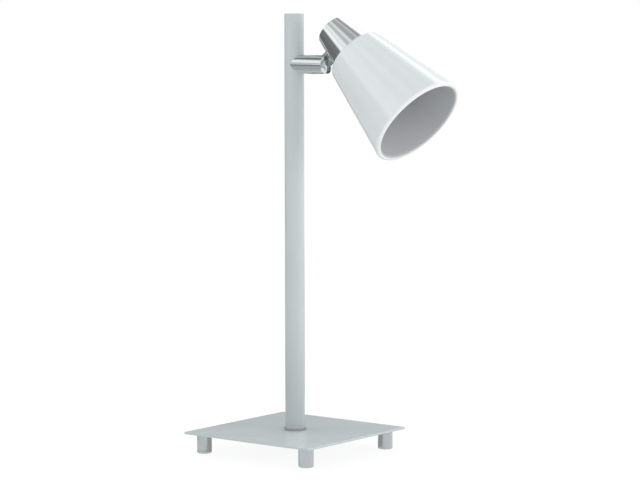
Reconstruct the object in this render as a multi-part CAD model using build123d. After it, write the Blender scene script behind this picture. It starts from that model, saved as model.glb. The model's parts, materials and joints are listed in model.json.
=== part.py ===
from build123d import *
import os
from math import asin, atan2, cos, degrees, radians, sin, sqrt

# Swivel table lamp, in millimetres, +Z up.
# The origin is on the post's axis at table level, and the arm points along +X.

# Base plate and its four feet
BASE_SIDE = 150.0
PLATE_THICKNESS = 2.0
PLATE_CORNER_RADIUS = 0.6
PLATE_EDGE_RADIUS = 0.3
FOOT_DIAMETER = 14.2
FOOT_HEIGHT = 18.4
FOOT_EDGE_RADIUS = 1.2
FOOT_INSET = 13.6
STUD_DIAMETER = 5.0
STUD_LENGTH = 11.0
STUD_LEAD_IN = 0.5
STUD_HOLE_SPARE = 1.0
PAD_DIAMETER = 10.5
PAD_THICKNESS = 1.6
PAD_PROUD = 0.4
PAD_EDGE_RADIUS = 0.3

# Post and the swivel at its foot
POST_TOP = 416.4
POST_DIAMETER = 18.6
POST_WALL = 1.5
FERRULE_HEIGHT = 3.3
FERRULE_GROOVE = 0.35
FERRULE_SPIGOT = 14.0
SWIVEL_WASHER_DIAMETER = 20.9
SWIVEL_WASHER_THICKNESS = 2.0
NIPPLE_DIAMETER = 10.0
NIPPLE_BORE = 7.4
NIPPLE_ENGAGEMENT = 15.0
NIPPLE_PROUD = 1.0
KEYWAY_WIDTH = 2.4
KEYWAY_DEPTH = 0.8
SLIDE_WASHER_DIAMETER = 18.0
SLIDE_WASHER_THICKNESS = 1.0
STOP_WASHER_DIAMETER = 18.0
STOP_WASHER_THICKNESS = 1.5
STOP_TAB_WIDTH = 5.2
STOP_TAB_REACH = 15.5
STOP_PIN_DIAMETER = 3.0
STOP_PIN_RADIUS = 13.0
STOP_PIN_LENGTH = 3.6
SPRING_WASHER_DIAMETER = 16.0
SPRING_WASHER_THICKNESS = 0.8
SPRING_WASHER_HEIGHT = 1.4
POST_NUT_FLATS = 14.0
POST_NUT_THICKNESS = 4.0
BUSH_BORE = 6.2
BUSH_FLANGE_DIAMETER = 10.4
BUSH_FLANGE_THICKNESS = 1.2
BUSH_SPIGOT = 4.0
BUSH_EDGE_RADIUS = 0.4
POST_CAP_THICKNESS = 2.5
POST_CAP_EDGE_RADIUS = 0.8
POST_CAP_SPIGOT = 8.0

# Arm, and what fastens it to the post
ARM_DIAMETER = 18.2
ARM_DROP = 47.4
ARM_STANDOUT = 24.2
EAR_REACH = 7.6
EAR_EDGE_RADIUS = 3.5
ARM_NIPPLE_DIAMETER = 8.0
ARM_NIPPLE_BORE = 5.6
ARM_NIPPLE_IN_ARM = 11.0
ARM_NIPPLE_IN_ANCHOR = 10.0
ANCHOR_HEIGHT = 22.0
WIRE_BORE = 6.0
SET_SCREW_DIAMETER = 4.0
SET_SCREW_FROM_POST = 6.0
SET_SCREW_RECESS = 0.6
SET_SCREW_SOCKET_FLATS = 2.0
SET_SCREW_SOCKET_DEPTH = 2.0

# Pivot between the arm's slotted end and the head's tab
TAB_THICKNESS = 5.0
TAB_WIDTH = 12.0
TAB_REACH = 14.3
TAB_FOOT_DIAMETER = 12.0
TAB_FOOT_THICKNESS = 2.0
TAB_SPIGOT_DIAMETER = 6.0
SLOT_END_GAP = 1.0
FRICTION_WASHER_DIAMETER = 11.0
FRICTION_WASHER_THICKNESS = 0.5
PIVOT_SCREW_DIAMETER = 4.0
PIVOT_SCREW_HEAD_DIAMETER = 7.2
PIVOT_SCREW_HEAD_THICKNESS = 2.6
PIVOT_SCREW_RECESS = 1.0
PIVOT_SCREW_BITE = 4.6
PIVOT_SOCKET_FLATS = 2.5
PIVOT_SOCKET_DEPTH = 1.5

# Head: chrome cap behind the shade
HEAD_PITCH = 40.0
PIVOT_BEHIND_SHADE = 22.8
CAP_LENGTH = 35.0
CAP_BACK_DIAMETER = 31.3
CAP_FRONT_DIAMETER = 45.5
CAP_WALL = 1.2
CAP_EDGE_RADIUS = 1.2
WIRE_HOLE_DIAMETER = 5.0
WIRE_HOLE_FROM_TAB = 10.2
GROMMET_FLANGE_DIAMETER = 7.0
GROMMET_FLANGE_THICKNESS = 0.8
GROMMET_EDGE_RADIUS = 0.3
GROMMET_PROUD = 1.2
GROMMET_BORE = 3.2

# Head: bracket and lamp holder inside the cap
BRACKET_WIDTH = 12.0
BRACKET_THICKNESS = 1.5
BRACKET_TAIL = 6.5
BRACKET_PAST_AXIS = 7.5
TAB_NUT_FLATS = 10.0
TAB_NUT_THICKNESS = 3.5
TAB_SPIGOT_PROUD = 0.8
HOLDER_DIAMETER = 26.8
HOLDER_BEHIND_SHADE = 7.5
HOLDER_BACK_WALL = 3.0
HOLDER_LENGTH = 40.0
HOLDER_FLANGE_DIAMETER = 35.0
HOLDER_FLANGE_THICKNESS = 1.5
HOLDER_MOUTH_DIAMETER = 19.0
HOLDER_MOUTH_DEPTH = 8.0
HOLDER_NIPPLE_DIAMETER = 8.0
HOLDER_NIPPLE_BORE = 5.6
HOLDER_NIPPLE_PROUD = 0.8
HOLDER_NUT_FLATS = 12.0
HOLDER_NUT_THICKNESS = 3.5
SOCKET_BORE = 14.0
SOCKET_WALL = 0.5
INSULATOR_THICKNESS = 3.0
INSULATOR_RIM = 1.4
CONTACT_ROOM = 0.4
CONTACT_WIDTH = 4.0
CONTACT_LENGTH = 8.0
CONTACT_THICKNESS = 0.5
CONTACT_STEP = 2.0
CONTACT_LIFT = 2.2
TERMINAL_WIDTH = 5.0
TERMINAL_LENGTH = 6.0
TERMINAL_HEIGHT = 4.6
TERMINAL_OFFSET = 10.2
TERMINAL_SCREW_DIAMETER = 2.6
TERMINAL_SCREW_HEAD = 4.2
TERMINAL_SCREW_HEAD_THICKNESS = 1.4
TERMINAL_SCREW_SLOT = 0.7

# Shade and the ring that holds it
SHADE_LENGTH = 94.8
SHADE_MOUTH_DIAMETER = 96.7
SHADE_BACK_DIAMETER = 56.7
SHADE_WALL = 5.3
SHADE_LIP_FLAT = 0.4
SHADE_SHOULDER_RADIUS = 4.5
SHADE_INNER_SHOULDER_RADIUS = 3.0
SHADE_HOLE_DIAMETER = 28.0
RING_DIAMETER = 38.0
RING_THICKNESS = 5.0
RING_NOTCHES = 12
RING_NOTCH_RADIUS = 1.4

# Clearances
FIT_GAP = 0.1
RUNNING_GAP = 0.3
PIVOT_GAP = 0.15
SADDLE_GAP = 0.05
CAP_SEAT_GAP = 0.2

# Heights and radii that follow
PLATE_BOTTOM = PAD_PROUD + FOOT_HEIGHT
PLATE_TOP = PLATE_BOTTOM + PLATE_THICKNESS
FERRULE_BOTTOM = PLATE_TOP + SWIVEL_WASHER_THICKNESS
FERRULE_TOP = FERRULE_BOTTOM + FERRULE_HEIGHT
TUBE_TOP = POST_TOP - POST_CAP_THICKNESS
SLIDE_WASHER_BOTTOM = PLATE_BOTTOM - SLIDE_WASHER_THICKNESS
STOP_WASHER_BOTTOM = SLIDE_WASHER_BOTTOM - STOP_WASHER_THICKNESS
SPRING_WASHER_BOTTOM = STOP_WASHER_BOTTOM - SPRING_WASHER_HEIGHT
POST_NUT_BOTTOM = SPRING_WASHER_BOTTOM - POST_NUT_THICKNESS
NIPPLE_BOTTOM = POST_NUT_BOTTOM - NIPPLE_PROUD
POST_RADIUS = POST_DIAMETER / 2
TUBE_BORE_RADIUS = POST_RADIUS - POST_WALL
NIPPLE_RADIUS = NIPPLE_DIAMETER / 2
SWIVEL_BORE_RADIUS = NIPPLE_RADIUS + RUNNING_GAP
ARM_HEIGHT = POST_TOP - ARM_DROP
ARM_RADIUS = ARM_DIAMETER / 2
ARM_BORE_RADIUS = ARM_NIPPLE_DIAMETER / 2 + FIT_GAP
PIVOT_X = POST_RADIUS + ARM_STANDOUT
ARM_END_X = PIVOT_X + EAR_REACH
SLOT_WIDTH = TAB_THICKNESS + 2 * FRICTION_WASHER_THICKNESS
SLOT_FLOOR_X = PIVOT_X - TAB_WIDTH / 2 - SLOT_END_GAP
SET_SCREW_X = POST_RADIUS + SET_SCREW_FROM_POST

# Places along the head's axis: zero at the shade's mouth, negative behind it
SHADE_BACK = -SHADE_LENGTH
CAP_FRONT = SHADE_BACK - CAP_SEAT_GAP
CAP_BACK = CAP_FRONT - CAP_LENGTH
PIVOT_STATION = SHADE_BACK - PIVOT_BEHIND_SHADE
HOLDER_BACK = SHADE_BACK - HOLDER_BEHIND_SHADE
HOLDER_FLOOR = HOLDER_BACK + HOLDER_BACK_WALL
HOLDER_FRONT = HOLDER_BACK + HOLDER_LENGTH
INSULATOR_FRONT = HOLDER_FLOOR + INSULATOR_THICKNESS
SOCKET_BACK = INSULATOR_FRONT + CONTACT_LIFT + CONTACT_ROOM
SOCKET_FRONT = HOLDER_FRONT - HOLDER_MOUTH_DEPTH
SOCKET_RADIUS = SOCKET_BORE / 2 + SOCKET_WALL
CAP_SLOPE = (CAP_FRONT_DIAMETER - CAP_BACK_DIAMETER) / 2 / CAP_LENGTH
CAP_SIDE_ANGLE = degrees(atan2(CAP_SLOPE, 1))
SHADE_SLOPE = (SHADE_MOUTH_DIAMETER - SHADE_BACK_DIAMETER) / 2 / SHADE_LENGTH
SHADE_SIDE_ANGLE = degrees(atan2(SHADE_SLOPE, 1))

ON_FLOOR = (Align.CENTER, Align.CENTER, Align.MIN)
UNDER_FLOOR = (Align.CENTER, Align.CENTER, Align.MAX)
OUT_ALONG_X = (Align.MIN, Align.CENTER, Align.MIN)
IN_ALONG_X = (Align.MAX, Align.CENTER, Align.MIN)


def cap_radius(station):
    """Outer radius of the cap at a station on the head's axis."""
    return CAP_BACK_DIAMETER / 2 + CAP_SLOPE * (station - CAP_BACK)


def shade_radius(station):
    """Outer radius of the shade's cone at a station on the head's axis."""
    return SHADE_MOUTH_DIAMETER / 2 + SHADE_SLOPE * station


# The head's own frame: z is the way the lamp shines, x points to the arm's side
AIM = Vector(cos(radians(HEAD_PITCH)), 0, -sin(radians(HEAD_PITCH)))
TO_ARM = Vector(-sin(radians(HEAD_PITCH)), 0, -cos(radians(HEAD_PITCH)))
PIVOT = Vector(PIVOT_X, 0, ARM_HEIGHT)
PIVOT_OFFSET = cap_radius(PIVOT_STATION) + TAB_REACH / cos(radians(CAP_SIDE_ANGLE))
MOUTH_CENTRE = PIVOT - TO_ARM * PIVOT_OFFSET - AIM * PIVOT_STATION
HEAD = Plane(origin=MOUTH_CENTRE, x_dir=TO_ARM, z_dir=AIM)

# The tab's own frame: z runs from the pivot square to the cap's side, x along that side
SIDE_SIN = sin(radians(CAP_SIDE_ANGLE))
SIDE_COS = cos(radians(CAP_SIDE_ANGLE))
TAB = Plane(
    origin=PIVOT,
    x_dir=TO_ARM * SIDE_SIN + AIM * SIDE_COS,
    z_dir=AIM * SIDE_SIN - TO_ARM * SIDE_COS,
)

# The pivot's frame: z along the screw, from the near ear to the far ear
ACROSS = Plane(origin=PIVOT, x_dir=(1, 0, 0), z_dir=(0, 1, 0))

# The arm's frame: z along the arm from the post's axis
ALONG_ARM = Plane(origin=(0, 0, ARM_HEIGHT), x_dir=(0, 0, -1), z_dir=(1, 0, 0))

# Where the bracket's foot lies: it touches the round inside of the cap with its two long edges
CAP_INSIDE_AT_TAB = cap_radius(PIVOT_STATION) - CAP_WALL / SIDE_COS
BRACKET_SAG = CAP_INSIDE_AT_TAB - sqrt(CAP_INSIDE_AT_TAB**2 - (BRACKET_WIDTH / 2) ** 2)
BRACKET_FOOT = TAB_REACH + CAP_WALL + BRACKET_SAG + FIT_GAP
TAB_NUT_BOTTOM = BRACKET_FOOT + BRACKET_THICKNESS
TAB_SPIGOT_END = TAB_NUT_BOTTOM + TAB_NUT_THICKNESS + TAB_SPIGOT_PROUD


def lathe(outline, rounds=()):
    """A turned solid about Z from (radius, height) points, with the named corners rounded."""
    face = make_face(Polyline(*[(r, 0, z) for r, z in outline], close=True))
    for (r, z), radius in rounds:
        corner = face.vertices().sort_by_distance((r, 0, z))[0]
        face = fillet(corner, radius)
    return revolve(face, Axis.Z)


def rod(radius, bottom, top):
    """A plain cylinder about Z."""
    return Pos(0, 0, bottom) * Cylinder(radius, top - bottom, align=ON_FLOOR)


def ring(radius, bore_radius, bottom, top):
    """A flat ring or a tube about Z."""
    return lathe([(bore_radius, bottom), (radius, bottom), (radius, top), (bore_radius, top)])


def hexagon(flats, bottom, top):
    """A hexagonal prism about Z, two of its flats facing along Y."""
    outline = RegularPolygon(flats / 2, 6, major_radius=False)
    return Pos(0, 0, bottom) * extrude(outline, top - bottom)


def nut(flats, bore_radius, bottom, top):
    """A hexagonal nut about Z with its corners turned off at both faces."""
    flat = flats / 2
    corner = flat / cos(radians(30))
    lost = (corner - flat) / 2
    turned = lathe(
        [
            (bore_radius, bottom),
            (flat, bottom),
            (corner, bottom + lost),
            (corner, top - lost),
            (flat, top),
            (bore_radius, top),
        ]
    )
    return hexagon(flats, bottom, top) & turned


def foot_places():
    """The four feet's names and centres."""
    out = BASE_SIDE / 2 - FOOT_INSET
    return {
        "front_left": (-out, -out),
        "front_right": (out, -out),
        "back_left": (-out, out),
        "back_right": (out, out),
    }


def base_plate():
    """Square plate with crisp corners and one hole for the post's nipple."""
    plate = Pos(0, 0, PLATE_BOTTOM) * Box(BASE_SIDE, BASE_SIDE, PLATE_THICKNESS, align=ON_FLOOR)
    plate = fillet(plate.edges().filter_by(Axis.Z), PLATE_CORNER_RADIUS)
    plate = fillet(plate.faces().sort_by(Axis.Z)[-1].edges(), PLATE_EDGE_RADIUS)
    return plate - rod(SWIVEL_BORE_RADIUS, PLATE_BOTTOM, PLATE_TOP)


def foot_studs():
    """Four studs welded under the plate, which the feet screw on to."""
    radius = STUD_DIAMETER / 2
    end = PLATE_BOTTOM - STUD_LENGTH
    stud = lathe(
        [
            (0, end),
            (radius - STUD_LEAD_IN, end),
            (radius, end + STUD_LEAD_IN),
            (radius, PLATE_BOTTOM),
            (0, PLATE_BOTTOM),
        ]
    )
    return Compound(children=[Pos(x, y, 0) * stud for x, y in foot_places().values()])


def foot():
    """Turned foot with a blind hole for its stud and a shallow seat for its pad."""
    radius = FOOT_DIAMETER / 2
    seat_radius = PAD_DIAMETER / 2 + FIT_GAP
    seat_top = PAD_THICKNESS
    hole_radius = STUD_DIAMETER / 2 + FIT_GAP
    hole_bottom = PLATE_BOTTOM - STUD_LENGTH - STUD_HOLE_SPARE
    return lathe(
        [
            (0, seat_top),
            (seat_radius, seat_top),
            (seat_radius, PAD_PROUD),
            (radius, PAD_PROUD),
            (radius, PLATE_BOTTOM),
            (hole_radius, PLATE_BOTTOM),
            (hole_radius, hole_bottom),
            (0, hole_bottom),
        ],
        rounds=[((radius, PAD_PROUD), FOOT_EDGE_RADIUS)],
    )


def foot_pad():
    """Soft disc under a foot."""
    radius = PAD_DIAMETER / 2
    return lathe(
        [(0, 0), (radius, 0), (radius, PAD_THICKNESS), (0, PAD_THICKNESS)],
        rounds=[((radius, 0), PAD_EDGE_RADIUS)],
    )


def swivel_washer():
    """Washer between plate and post, a little wider than the post."""
    return ring(SWIVEL_WASHER_DIAMETER / 2, SWIVEL_BORE_RADIUS, PLATE_TOP, FERRULE_BOTTOM)


def slide_washer():
    """Thin washer under the plate."""
    radius = SLIDE_WASHER_DIAMETER / 2
    return ring(radius, SWIVEL_BORE_RADIUS, SLIDE_WASHER_BOTTOM, PLATE_BOTTOM)


def stop_pin():
    """Short pin welded under the plate, which ends the swivel's turn."""
    pin = rod(STOP_PIN_DIAMETER / 2, PLATE_BOTTOM - STOP_PIN_LENGTH, PLATE_BOTTOM)
    return Pos(-STOP_PIN_RADIUS, 0, 0) * pin


def stop_washer():
    """Washer keyed to the nipple, with a tab that meets the stop pin."""
    bottom = STOP_WASHER_BOTTOM
    top = SLIDE_WASHER_BOTTOM
    blank = rod(STOP_WASHER_DIAMETER / 2, bottom, top)
    tab = Box(STOP_TAB_REACH, STOP_TAB_WIDTH, top - bottom, align=OUT_ALONG_X)
    bore = rod(NIPPLE_RADIUS + FIT_GAP, bottom, top)
    key_reach = NIPPLE_RADIUS - KEYWAY_DEPTH + FIT_GAP
    key_length = NIPPLE_RADIUS + 2 * FIT_GAP - key_reach
    key = Box(key_length, KEYWAY_WIDTH - 2 * FIT_GAP, top - bottom, align=OUT_ALONG_X)
    return blank + Pos(0, 0, bottom) * tab - bore + Pos(key_reach, 0, bottom) * key


def spring_washer():
    """Coned spring washer, its rim up against the stop washer."""
    inner = NIPPLE_RADIUS + FIT_GAP
    outer = SPRING_WASHER_DIAMETER / 2
    low = SPRING_WASHER_BOTTOM
    high = STOP_WASHER_BOTTOM
    return lathe(
        [
            (inner, low),
            (outer, high - SPRING_WASHER_THICKNESS),
            (outer, high),
            (inner, low + SPRING_WASHER_THICKNESS),
        ]
    )


def post_nut():
    """Nut that clamps the swivel on the nipple."""
    return nut(POST_NUT_FLATS, NIPPLE_RADIUS + FIT_GAP, POST_NUT_BOTTOM, SPRING_WASHER_BOTTOM)


def post_nipple():
    """Threaded tube that ties the post to the plate and lets the lead in."""
    top = FERRULE_BOTTOM + NIPPLE_ENGAGEMENT
    body = ring(NIPPLE_RADIUS, NIPPLE_BORE / 2, NIPPLE_BOTTOM, top)
    keyway_height = PLATE_BOTTOM - NIPPLE_BOTTOM
    keyway = Box(KEYWAY_DEPTH, KEYWAY_WIDTH, keyway_height, align=IN_ALONG_X)
    return body - Pos(NIPPLE_RADIUS, 0, NIPPLE_BOTTOM) * keyway


def lead_bush():
    """Smooth bush in the nipple's lower end, where the lead goes in."""
    bore = BUSH_BORE / 2
    flange = BUSH_FLANGE_DIAMETER / 2
    spigot = NIPPLE_BORE / 2 - FIT_GAP
    bottom = NIPPLE_BOTTOM - BUSH_FLANGE_THICKNESS
    top = NIPPLE_BOTTOM + BUSH_SPIGOT
    return lathe(
        [
            (bore, bottom),
            (flange, bottom),
            (flange, NIPPLE_BOTTOM),
            (spigot, NIPPLE_BOTTOM),
            (spigot, top),
            (bore, top),
        ],
        rounds=[((flange, bottom), BUSH_EDGE_RADIUS)],
    )


def post_ferrule():
    """Turned foot of the post: a collar below a shallow groove, and a spigot in the tube."""
    bore = NIPPLE_RADIUS + FIT_GAP
    spigot = TUBE_BORE_RADIUS - FIT_GAP
    waist = POST_RADIUS - FERRULE_GROOVE
    groove_bottom = FERRULE_TOP - FERRULE_GROOVE
    return lathe(
        [
            (bore, FERRULE_BOTTOM),
            (POST_RADIUS, FERRULE_BOTTOM),
            (POST_RADIUS, groove_bottom),
            (waist, groove_bottom),
            (waist, FERRULE_TOP),
            (spigot, FERRULE_TOP),
            (spigot, FERRULE_TOP + FERRULE_SPIGOT),
            (bore, FERRULE_TOP + FERRULE_SPIGOT),
        ]
    )


def post_tube():
    """Straight tube, open at both ends, with one hole for the arm's nipple."""
    tube = ring(POST_RADIUS, TUBE_BORE_RADIUS, FERRULE_TOP, TUBE_TOP)
    return tube - ALONG_ARM * rod(ARM_BORE_RADIUS, 0, POST_DIAMETER)


def post_cap():
    """Plug that closes the top of the tube."""
    spigot = TUBE_BORE_RADIUS - FIT_GAP
    spigot_end = TUBE_TOP - POST_CAP_SPIGOT
    return lathe(
        [
            (0, spigot_end),
            (spigot, spigot_end),
            (spigot, TUBE_TOP),
            (POST_RADIUS, TUBE_TOP),
            (POST_RADIUS, POST_TOP),
            (0, POST_TOP),
        ],
        rounds=[((POST_RADIUS, POST_TOP), POST_CAP_EDGE_RADIUS)],
    )


def arm_anchor():
    """Block inside the tube that the arm's nipple screws in to, with a way up for the wires."""
    radius = TUBE_BORE_RADIUS - FIT_GAP
    half = ANCHOR_HEIGHT / 2
    block = rod(radius, ARM_HEIGHT - half, ARM_HEIGHT + half)
    block -= ALONG_ARM * rod(ARM_BORE_RADIUS, TUBE_BORE_RADIUS - ARM_NIPPLE_IN_ANCHOR, POST_RADIUS)
    return block - rod(WIRE_BORE / 2, ARM_HEIGHT - half, ARM_HEIGHT)


def arm_nipple():
    """Hollow threaded rod from the anchor into the arm."""
    start = TUBE_BORE_RADIUS - ARM_NIPPLE_IN_ANCHOR
    end = POST_RADIUS + ARM_NIPPLE_IN_ARM
    return ALONG_ARM * ring(ARM_NIPPLE_DIAMETER / 2, ARM_NIPPLE_BORE / 2, start, end)


def arm():
    """Round bar coped to the post, bored for the wires and slotted for the head's tab."""
    bar = ALONG_ARM * lathe(
        [(0, 0), (ARM_RADIUS, 0), (ARM_RADIUS, ARM_END_X), (0, ARM_END_X)],
        rounds=[((ARM_RADIUS, ARM_END_X), EAR_EDGE_RADIUS)],
    )
    nipple_hole_end = POST_RADIUS + ARM_NIPPLE_IN_ARM + FIT_GAP
    bar -= rod(POST_RADIUS + SADDLE_GAP, ARM_HEIGHT - ARM_DIAMETER, ARM_HEIGHT + ARM_DIAMETER)
    bar -= ALONG_ARM * rod(ARM_BORE_RADIUS, 0, nipple_hole_end)
    bar -= ALONG_ARM * rod(ARM_NIPPLE_BORE / 2, 0, SLOT_FLOOR_X)
    slot_length = ARM_END_X - SLOT_FLOOR_X
    slot = Box(slot_length, SLOT_WIDTH, ARM_DIAMETER, align=(Align.MIN, Align.CENTER, Align.CENTER))
    bar -= Pos(SLOT_FLOOR_X, 0, ARM_HEIGHT) * slot
    bar -= pivot_screw_hole()
    set_screw_hole = rod(SET_SCREW_DIAMETER / 2 + FIT_GAP, ARM_HEIGHT - ARM_RADIUS, ARM_HEIGHT)
    return bar - Pos(SET_SCREW_X, 0, 0) * set_screw_hole


def head_seat():
    """How far the pivot screw's head seat lies from the arm's middle."""
    return ARM_RADIUS - PIVOT_SCREW_RECESS - PIVOT_SCREW_HEAD_THICKNESS


def pivot_screw_hole():
    """Through the far ear with a recess for the head, and blind into the near ear."""
    shank = PIVOT_SCREW_DIAMETER / 2
    blind_end = -SLOT_WIDTH / 2 - PIVOT_SCREW_BITE - FIT_GAP
    thread = rod(shank + FIT_GAP, blind_end, head_seat())
    recess = rod(PIVOT_SCREW_HEAD_DIAMETER / 2 + FIT_GAP, head_seat(), ARM_RADIUS)
    return ACROSS * (thread + recess)


def pivot_screw():
    """Socket-headed screw that clamps the ears on the tab."""
    shank = PIVOT_SCREW_DIAMETER / 2
    head = PIVOT_SCREW_HEAD_DIAMETER / 2
    end = -SLOT_WIDTH / 2 - PIVOT_SCREW_BITE
    top = head_seat() + PIVOT_SCREW_HEAD_THICKNESS
    body = rod(shank, end, head_seat()) + rod(head, head_seat(), top)
    return ACROSS * (body - hexagon(PIVOT_SOCKET_FLATS, top - PIVOT_SOCKET_DEPTH, top))


def friction_washers():
    """Two thin washers, one each side of the tab."""
    outer = FRICTION_WASHER_DIAMETER / 2
    bore = PIVOT_SCREW_DIAMETER / 2 + FIT_GAP
    inner_face = TAB_THICKNESS / 2
    outer_face = SLOT_WIDTH / 2
    far = ring(outer, bore, inner_face, outer_face)
    near = ring(outer, bore, -outer_face, -inner_face)
    return Compound(children=[ACROSS * near, ACROSS * far])


def arm_set_screw():
    """Headless screw under the arm that locks it on its nipple."""
    bottom = ARM_HEIGHT - ARM_RADIUS + SET_SCREW_RECESS
    top = ARM_HEIGHT - ARM_NIPPLE_DIAMETER / 2
    body = rod(SET_SCREW_DIAMETER / 2, bottom, top)
    socket = hexagon(SET_SCREW_SOCKET_FLATS, bottom, bottom + SET_SCREW_SOCKET_DEPTH)
    return Pos(SET_SCREW_X, 0, 0) * (body - socket)


def cap_outside(gap):
    """The cone of the cap's outside, made larger by a gap, as a tool to cut a saddle."""
    grow = gap / SIDE_COS
    cone = lathe(
        [
            (0, CAP_BACK),
            (cap_radius(CAP_BACK) + grow, CAP_BACK),
            (cap_radius(CAP_FRONT) + grow, CAP_FRONT),
            (0, CAP_FRONT),
        ]
    )
    return HEAD * cone


def head_tab():
    """Flat tab in the arm's slot, with a saddle foot on the cap and a spigot into it."""
    half_width = TAB_WIDTH / 2
    foot_start = TAB_REACH - TAB_FOOT_THICKNESS
    foot_end = TAB_REACH + TAB_FOOT_THICKNESS
    blade = Box(TAB_WIDTH, TAB_THICKNESS, foot_end, align=ON_FLOOR)
    round_end = Rot(90, 0, 0) * Cylinder(half_width, TAB_THICKNESS)
    foot = rod(TAB_FOOT_DIAMETER / 2, foot_start, foot_end)
    tab = TAB * (blade + round_end + foot) - cap_outside(SADDLE_GAP)
    tab += TAB * rod(TAB_SPIGOT_DIAMETER / 2, foot_start, TAB_SPIGOT_END)
    hole = rod(PIVOT_SCREW_DIAMETER / 2 + PIVOT_GAP, -TAB_THICKNESS, TAB_THICKNESS)
    return tab - ACROSS * hole


def lamp_cap():
    """Thin tapered cup behind the shade, closed at the back, with holes for tab and wires."""
    wall = CAP_WALL / SIDE_COS
    back_inside = CAP_BACK + CAP_WALL
    cup = lathe(
        [
            (0, CAP_BACK),
            (cap_radius(CAP_BACK), CAP_BACK),
            (cap_radius(CAP_FRONT), CAP_FRONT),
            (cap_radius(CAP_FRONT) - wall, CAP_FRONT),
            (cap_radius(back_inside) - wall, back_inside),
            (0, back_inside),
        ],
        rounds=[((cap_radius(CAP_BACK), CAP_BACK), CAP_EDGE_RADIUS)],
    )
    cup = HEAD * cup
    cup -= TAB * rod(TAB_SPIGOT_DIAMETER / 2 + FIT_GAP, 0, TAB_NUT_BOTTOM)
    wire_hole = rod(WIRE_HOLE_DIAMETER / 2 + FIT_GAP, 0, grommet_end())
    return cup - TAB * (Pos(-WIRE_HOLE_FROM_TAB, 0, 0) * wire_hole)


def grommet_end():
    """How far along the tab's z the grommet's neck reaches into the cap."""
    return TAB_REACH + CAP_WALL + GROMMET_PROUD


def wire_grommet():
    """Bush in the cap where the wires come over from the arm, its flange saddled to the cone."""
    outer = GROMMET_FLANGE_DIAMETER / 2
    bore = GROMMET_BORE / 2
    top = TAB_REACH - GROMMET_FLANGE_THICKNESS
    flange = lathe(
        [(bore, top), (outer, top), (outer, grommet_end()), (bore, grommet_end())],
        rounds=[((outer, top), GROMMET_EDGE_RADIUS)],
    )
    neck = ring(WIRE_HOLE_DIAMETER / 2, bore, top, grommet_end())
    at = Pos(-WIRE_HOLE_FROM_TAB, 0, 0)
    return TAB * (at * flange) - cap_outside(SADDLE_GAP) + TAB * (at * neck)


def side_point(depth, along):
    """A point in the head's XZ plane at a depth along the tab's z and a distance along its x."""
    x = PIVOT_OFFSET - depth * SIDE_COS + along * SIDE_SIN
    z = PIVOT_STATION + depth * SIDE_SIN + along * SIDE_COS
    return (x, 0, z)


def side_point_at(depth, station):
    """The point at a depth along the tab's z that lies at a station on the head's axis."""
    along = (station - PIVOT_STATION - depth * SIDE_SIN) / SIDE_COS
    return side_point(depth, along)


def holder_bracket():
    """Bent strip: one leg under the tab's nut, the other across the axis behind the holder."""
    outer = BRACKET_FOOT
    inner = TAB_NUT_BOTTOM
    rear = HOLDER_BACK - BRACKET_THICKNESS
    profile = Polyline(
        side_point(outer, -BRACKET_TAIL),
        side_point_at(outer, HOLDER_BACK),
        (-BRACKET_PAST_AXIS, 0, HOLDER_BACK),
        (-BRACKET_PAST_AXIS, 0, rear),
        side_point_at(inner, rear),
        side_point(inner, -BRACKET_TAIL),
        close=True,
    )
    strip = HEAD * extrude(make_face(profile), BRACKET_WIDTH / 2, dir=(0, 1, 0), both=True)
    strip -= TAB * rod(TAB_SPIGOT_DIAMETER / 2 + FIT_GAP, BRACKET_FOOT - BRACKET_THICKNESS, TAB_SPIGOT_END)
    return strip - HEAD * rod(HOLDER_NIPPLE_DIAMETER / 2 + FIT_GAP, rear, HOLDER_BACK)


def tab_nut():
    """Nut on the tab's spigot, inside the cap."""
    return TAB * nut(
        TAB_NUT_FLATS,
        TAB_SPIGOT_DIAMETER / 2 + FIT_GAP,
        TAB_NUT_BOTTOM,
        TAB_NUT_BOTTOM + TAB_NUT_THICKNESS,
    )


def holder_nipple():
    """Short threaded tube that ties the lamp holder to the bracket."""
    start = HOLDER_BACK - BRACKET_THICKNESS - HOLDER_NUT_THICKNESS - HOLDER_NIPPLE_PROUD
    return HEAD * ring(HOLDER_NIPPLE_DIAMETER / 2, HOLDER_NIPPLE_BORE / 2, start, HOLDER_FLOOR)


def holder_nut():
    """Nut behind the bracket on the holder's nipple."""
    front = HOLDER_BACK - BRACKET_THICKNESS
    return HEAD * nut(
        HOLDER_NUT_FLATS,
        HOLDER_NIPPLE_DIAMETER / 2 + FIT_GAP,
        front - HOLDER_NUT_THICKNESS,
        front,
    )


def lamp_holder():
    """Moulded holder: a barrel through the shade's hole, with a flange behind the shade."""
    barrel = HOLDER_DIAMETER / 2
    flange = HOLDER_FLANGE_DIAMETER / 2
    flange_back = SHADE_BACK - HOLDER_FLANGE_THICKNESS
    seat = SOCKET_RADIUS + FIT_GAP
    mouth = HOLDER_MOUTH_DIAMETER / 2
    nipple_hole = HOLDER_NIPPLE_DIAMETER / 2 + FIT_GAP
    body = lathe(
        [
            (nipple_hole, HOLDER_BACK),
            (barrel, HOLDER_BACK),
            (barrel, flange_back),
            (flange, flange_back),
            (flange, SHADE_BACK),
            (barrel, SHADE_BACK),
            (barrel, HOLDER_FRONT),
            (mouth, HOLDER_FRONT),
            (mouth, SOCKET_FRONT),
            (seat, SOCKET_FRONT),
            (seat, HOLDER_FLOOR),
            (nipple_hole, HOLDER_FLOOR),
        ]
    )
    return HEAD * body


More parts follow.
